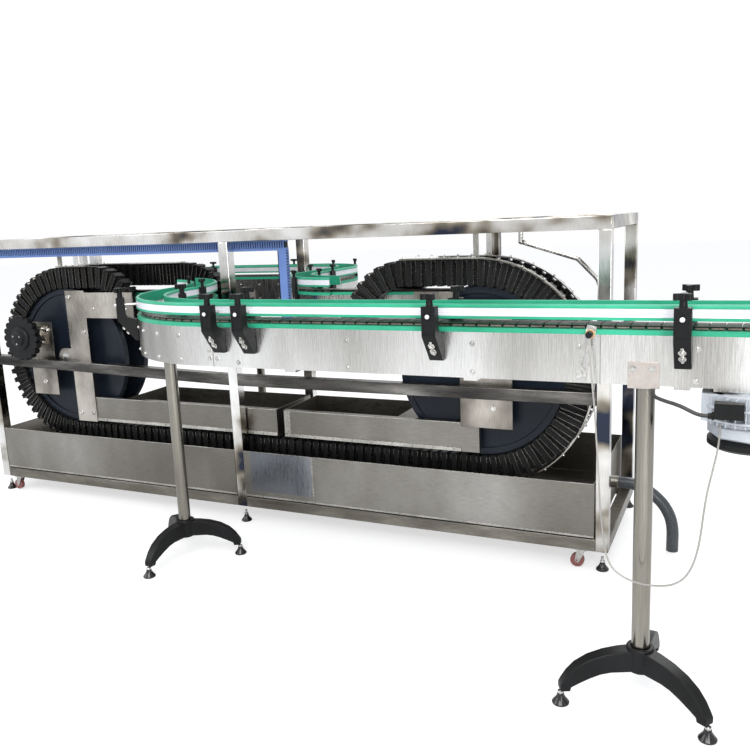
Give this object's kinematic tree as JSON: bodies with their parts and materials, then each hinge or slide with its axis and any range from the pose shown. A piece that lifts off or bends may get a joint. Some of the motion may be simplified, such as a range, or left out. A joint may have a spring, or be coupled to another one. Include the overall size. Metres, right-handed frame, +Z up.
{
  "type": "ultrasonic bottle washing machine",
  "caption": "Stainless frame machine in which gripper chains carry bottles round end wheels over a wash tank, fed by a curved slat conveyor with green guide rails on tripod columns",
  "frame": {"origin": "middle of the bounding box on the floor", "axes": "+X along the machine and its conveyors towards the infeed's drive end, +Y from the infeed side to the back, +Z up"},
  "size_m": [3.953, 2.3514, 1.382],
  "materials": {
    "black_plastic": "matte",
    "bright_steel": "satin",
    "cable_sleeve": "matte",
    "caster_red": "matte",
    "chain_steel": "satin",
    "duct_plastic": "matte",
    "green_plastic": "satin",
    "gripper_rubber": "matte",
    "hose_rubber": "satin",
    "motor_paint": "satin",
    "stainless": "satin"
  },
  "bodies": {
    "machine": {"frame_posts": "stainless", "long_rails": "stainless", "cross_rails": "stainless", "middle_rail_left": "stainless", "machine_feet": "bright_steel", "caster_plates": "stainless", "wash_tank": "stainless", "rinse_boxes": "stainless", "support_plates": "stainless", "cross_beams": "stainless", "front_gripper_chain": "gripper_rubber", "rear_gripper_chain": "gripper_rubber", "gear_bearing": "stainless", "top_cross_bars": "stainless", "bearing_stands": "stainless", "chain_drive": "motor_paint", "transducer_boxes": "stainless", "front_guide_track": "bright_steel", "rear_guide_track": "bright_steel", "wiring_duct": "duct_plastic", "rinse_pipe": "stainless", "infeed_side_plates": "stainless", "infeed_wear_strips": "green_plastic", "infeed_chain": "chain_steel", "infeed_rails": "green_plastic", "outfeed_side_plates": "stainless", "outfeed_wear_strips": "green_plastic", "outfeed_chain": "chain_steel", "outfeed_rails": "green_plastic", "lane_motor": "motor_paint", "motor_covers": "black_plastic", "sensor_strip": "stainless", "lane_sensor": "black_plastic", "lane_stays": "stainless", "transfer_plates": "stainless", "transfer_wear_strips": "green_plastic", "transfer_chains": "chain_steel", "lane_cross_bars": "stainless", "rail_clamps": "black_plastic", "drain_hose": "hose_rubber", "motor_cable": "cable_sleeve", "sensor_cable": "cable_sleeve", "column_tubes": "stainless", "column_heads": "stainless", "tripod_bases": "black_plastic", "tripod_feet": "bright_steel"},
    "left_wheel_set": {"left_shaft": "bright_steel", "left_wheels": "black_plastic"},
    "right_wheel_set": {"right_shaft": "bright_steel", "right_wheels": "black_plastic"},
    "hand_wheel": {"hand_gear": "black_plastic"},
    "infeed_sprocket": {"drive_sprocket": "chain_steel"},
    "caster_swivel_1": {"caster_fork_1": "bright_steel"},
    "caster_roller_1": {"caster_wheel_1": "caster_red"},
    "caster_swivel_2": {"caster_fork_2": "bright_steel"},
    "caster_roller_2": {"caster_wheel_2": "caster_red"},
    "caster_swivel_3": {"caster_fork_3": "bright_steel"},
    "caster_roller_3": {"caster_wheel_3": "caster_red"},
    "caster_swivel_4": {"caster_fork_4": "bright_steel"},
    "caster_roller_4": {"caster_wheel_4": "caster_red"}
  },
  "joints": [
    {"name": "left_wheels_turn", "type": "hinge", "parent": "machine", "child": "left_wheel_set", "pos_m": [-1.45, -0.01029, 0.765], "axis": [0, 1, 0], "continuous": true},
    {"name": "right_wheels_turn", "type": "hinge", "parent": "machine", "child": "right_wheel_set", "pos_m": [0.795, -0.01029, 0.765], "axis": [0, 1, 0], "continuous": true},
    {"name": "hand_wheel_turn", "type": "hinge", "parent": "machine", "child": "hand_wheel", "pos_m": [-1.62, -0.20029, 0.878], "axis": [0, 1, 0], "continuous": true},
    {"name": "infeed_sprocket_turn", "type": "hinge", "parent": "machine", "child": "infeed_sprocket", "pos_m": [1.915, -1.01029, 1.044], "axis": [0, 1, 0], "continuous": true},
    {"name": "caster_1_swivel", "type": "hinge", "parent": "machine", "child": "caster_swivel_1", "pos_m": [1.23, -0.17529, 0.078], "axis": [0, 0, 1], "continuous": true},
    {"name": "caster_1_roll", "type": "hinge", "parent": "caster_swivel_1", "child": "caster_roller_1", "pos_m": [1.212, -0.17529, 0.031], "axis": [0, 1, 0], "continuous": true},
    {"name": "caster_2_swivel", "type": "hinge", "parent": "machine", "child": "caster_swivel_2", "pos_m": [-1.87, -0.17529, 0.078], "axis": [0, 0, 1], "continuous": true},
    {"name": "caster_2_roll", "type": "hinge", "parent": "caster_swivel_2", "child": "caster_roller_2", "pos_m": [-1.888, -0.17529, 0.031], "axis": [0, 1, 0], "continuous": true},
    {"name": "caster_3_swivel", "type": "hinge", "parent": "machine", "child": "caster_swivel_3", "pos_m": [1.23, 0.51771, 0.078], "axis": [0, 0, 1], "continuous": true},
    {"name": "caster_3_roll", "type": "hinge", "parent": "caster_swivel_3", "child": "caster_roller_3", "pos_m": [1.212, 0.51771, 0.031], "axis": [0, 1, 0], "continuous": true},
    {"name": "caster_4_swivel", "type": "hinge", "parent": "machine", "child": "caster_swivel_4", "pos_m": [-1.87, 0.51771, 0.078], "axis": [0, 0, 1], "continuous": true},
    {"name": "caster_4_roll", "type": "hinge", "parent": "caster_swivel_4", "child": "caster_roller_4", "pos_m": [-1.888, 0.51771, 0.031], "axis": [0, 1, 0], "continuous": true}
  ]
}
